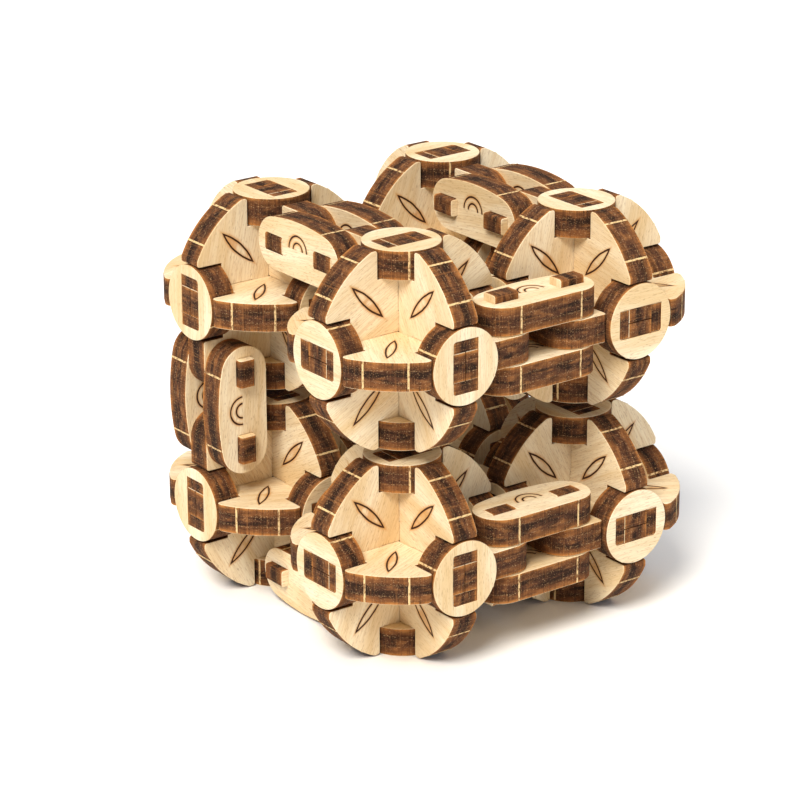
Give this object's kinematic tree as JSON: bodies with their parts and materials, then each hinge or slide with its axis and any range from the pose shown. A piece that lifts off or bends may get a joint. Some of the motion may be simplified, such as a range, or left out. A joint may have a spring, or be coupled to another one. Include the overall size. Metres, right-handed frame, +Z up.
{
  "type": "folding puzzle cube",
  "caption": "Block of open plywood balls, each made of crossed discs and round caps, joined in a ring by hinged link plates so that the block folds inside out.",
  "frame": {"origin": "middle of the closed block's footprint, on the surface that it stands on", "axes": "+Z up; +X to the block's right, from the left balls to the right balls along the front links; +Y to its back"},
  "size_m": [0.0716, 0.0716, 0.0716],
  "materials": {
    "plywood_disc": "unfinished birch plywood, laser-cut, charred edges",
    "plywood_plate": "unfinished birch plywood, laser-cut, charred edges",
    "plywood_pin": "charred laser-cut edge of birch plywood"
  },
  "bodies": {
    "upper_front_left": {"upper_front_left_disc_x": "plywood_disc", "upper_front_left_disc_y": "plywood_disc", "upper_front_left_disc_z": "plywood_disc"},
    "upper_front_right": {"upper_front_right_disc_x": "plywood_disc", "upper_front_right_disc_y": "plywood_disc", "upper_front_right_disc_z": "plywood_disc"},
    "upper_back_left": {"upper_back_left_disc_x": "plywood_disc", "upper_back_left_disc_y": "plywood_disc", "upper_back_left_disc_z": "plywood_disc"},
    "upper_back_right": {"upper_back_right_disc_x": "plywood_disc", "upper_back_right_disc_y": "plywood_disc", "upper_back_right_disc_z": "plywood_disc"},
    "lower_front_left": {"lower_front_left_disc_x": "plywood_disc", "lower_front_left_disc_y": "plywood_disc", "lower_front_left_disc_z": "plywood_disc"},
    "lower_front_right": {"lower_front_right_disc_x": "plywood_disc", "lower_front_right_disc_y": "plywood_disc", "lower_front_right_disc_z": "plywood_disc"},
    "lower_back_left": {"lower_back_left_disc_x": "plywood_disc", "lower_back_left_disc_y": "plywood_disc", "lower_back_left_disc_z": "plywood_disc"},
    "lower_back_right": {"lower_back_right_disc_x": "plywood_disc", "lower_back_right_disc_y": "plywood_disc", "lower_back_right_disc_z": "plywood_disc"},
    "upper_front_link": {"upper_front_link_plate_a": "plywood_plate", "upper_front_link_plate_b": "plywood_plate", "upper_front_link_pin_1": "plywood_pin", "upper_front_link_pin_2": "plywood_pin"},
    "lower_front_link": {"lower_front_link_plate_a": "plywood_plate", "lower_front_link_plate_b": "plywood_plate", "lower_front_link_pin_1": "plywood_pin", "lower_front_link_pin_2": "plywood_pin"},
    "upper_left_link": {"upper_left_link_plate_a": "plywood_plate", "upper_left_link_plate_b": "plywood_plate", "upper_left_link_pin_1": "plywood_pin", "upper_left_link_pin_2": "plywood_pin"},
    "upper_right_link": {"upper_right_link_plate_a": "plywood_plate", "upper_right_link_plate_b": "plywood_plate", "upper_right_link_pin_1": "plywood_pin", "upper_right_link_pin_2": "plywood_pin"},
    "lower_left_link": {"lower_left_link_plate_a": "plywood_plate", "lower_left_link_plate_b": "plywood_plate", "lower_left_link_pin_1": "plywood_pin", "lower_left_link_pin_2": "plywood_pin"},
    "lower_right_link": {"lower_right_link_plate_a": "plywood_plate", "lower_right_link_plate_b": "plywood_plate", "lower_right_link_pin_1": "plywood_pin", "lower_right_link_pin_2": "plywood_pin"},
    "back_left_link": {"back_left_link_plate_a": "plywood_plate", "back_left_link_plate_b": "plywood_plate", "back_left_link_pin_1": "plywood_pin", "back_left_link_pin_2": "plywood_pin"},
    "back_right_link": {"back_right_link_plate_a": "plywood_plate", "back_right_link_plate_b": "plywood_plate", "back_right_link_pin_1": "plywood_pin", "back_right_link_peg_a": "plywood_pin", "back_right_link_peg_b": "plywood_pin"}
  },
  "joints": [
    {"name": "left_side_hinge_low", "type": "hinge", "parent": "lower_back_left", "child": "back_left_link", "pos_m": [-0.03015, 0.01855, 0.02885], "axis": [0, -1, 0], "range_deg": [0, 90]},
    {"name": "left_side_hinge_high", "type": "hinge", "parent": "back_left_link", "child": "upper_back_left", "pos_m": [-0.03015, 0.01855, 0.04275], "axis": [0, -1, 0], "range_deg": [0, 90]},
    {"name": "top_left_hinge_back", "type": "hinge", "parent": "upper_back_left", "child": "upper_left_link", "pos_m": [-0.01855, 0.00695, 0.06595], "axis": [1, 0, 0], "range_deg": [-90, 0]},
    {"name": "top_left_hinge_front", "type": "hinge", "parent": "upper_left_link", "child": "upper_front_left", "pos_m": [-0.01855, -0.00695, 0.06595], "axis": [1, 0, 0], "range_deg": [-90, 0]},
    {"name": "front_upper_hinge_left", "type": "hinge", "parent": "upper_front_left", "child": "upper_front_link", "pos_m": [-0.00695, -0.03015, 0.05435], "axis": [0, 0, -1], "range_deg": [0, 90]},
    {"name": "front_upper_hinge_right", "type": "hinge", "parent": "upper_front_link", "child": "upper_front_right", "pos_m": [0.00695, -0.03015, 0.05435], "axis": [0, 0, -1], "range_deg": [0, 90]},
    {"name": "top_right_hinge_front", "type": "hinge", "parent": "upper_front_right", "child": "upper_right_link", "pos_m": [0.01855, -0.00695, 0.06595], "axis": [1, 0, 0], "range_deg": [0, 90]},
    {"name": "top_right_hinge_back", "type": "hinge", "parent": "upper_right_link", "child": "upper_back_right", "pos_m": [0.01855, 0.00695, 0.06595], "axis": [1, 0, 0], "range_deg": [0, 90]},
    {"name": "base_left_hinge_back", "type": "hinge", "parent": "lower_back_left", "child": "lower_left_link", "pos_m": [-0.01855, 0.00695, 0.00565], "axis": [-1, 0, 0], "range_deg": [-90, 0]},
    {"name": "base_left_hinge_front", "type": "hinge", "parent": "lower_left_link", "child": "lower_front_left", "pos_m": [-0.01855, -0.00695, 0.00565], "axis": [-1, 0, 0], "range_deg": [-90, 0]},
    {"name": "front_lower_hinge_left", "type": "hinge", "parent": "lower_front_left", "child": "lower_front_link", "pos_m": [-0.00695, -0.03015, 0.01725], "axis": [0, 0, -1], "range_deg": [0, 90]},
    {"name": "front_lower_hinge_right", "type": "hinge", "parent": "lower_front_link", "child": "lower_front_right", "pos_m": [0.00695, -0.03015, 0.01725], "axis": [0, 0, -1], "range_deg": [0, 90]},
    {"name": "base_right_hinge_front", "type": "hinge", "parent": "lower_front_right", "child": "lower_right_link", "pos_m": [0.01855, -0.00695, 0.00565], "axis": [-1, 0, 0], "range_deg": [0, 90]},
    {"name": "base_right_hinge_back", "type": "hinge", "parent": "lower_right_link", "child": "lower_back_right", "pos_m": [0.01855, 0.00695, 0.00565], "axis": [-1, 0, 0], "range_deg": [0, 90]},
    {"name": "right_side_hinge_low", "type": "hinge", "parent": "lower_back_right", "child": "back_right_link", "pos_m": [0.03015, 0.01855, 0.02885], "axis": [0, 1, 0], "range_deg": [0, 90]}
  ],
  "couplings": [
    {"joint": "front_lower_hinge_left", "follows": "front_upper_hinge_left", "ratio": 1},
    {"joint": "front_lower_hinge_right", "follows": "front_upper_hinge_right", "ratio": 1},
    {"joint": "top_right_hinge_back", "follows": "top_left_hinge_back", "ratio": -1},
    {"joint": "top_right_hinge_front", "follows": "top_left_hinge_front", "ratio": -1},
    {"joint": "base_right_hinge_back", "follows": "base_left_hinge_back", "ratio": -1},
    {"joint": "base_right_hinge_front", "follows": "base_left_hinge_front", "ratio": -1},
    {"joint": "right_side_hinge_low", "follows": "left_side_hinge_low", "ratio": 1}
  ]
}
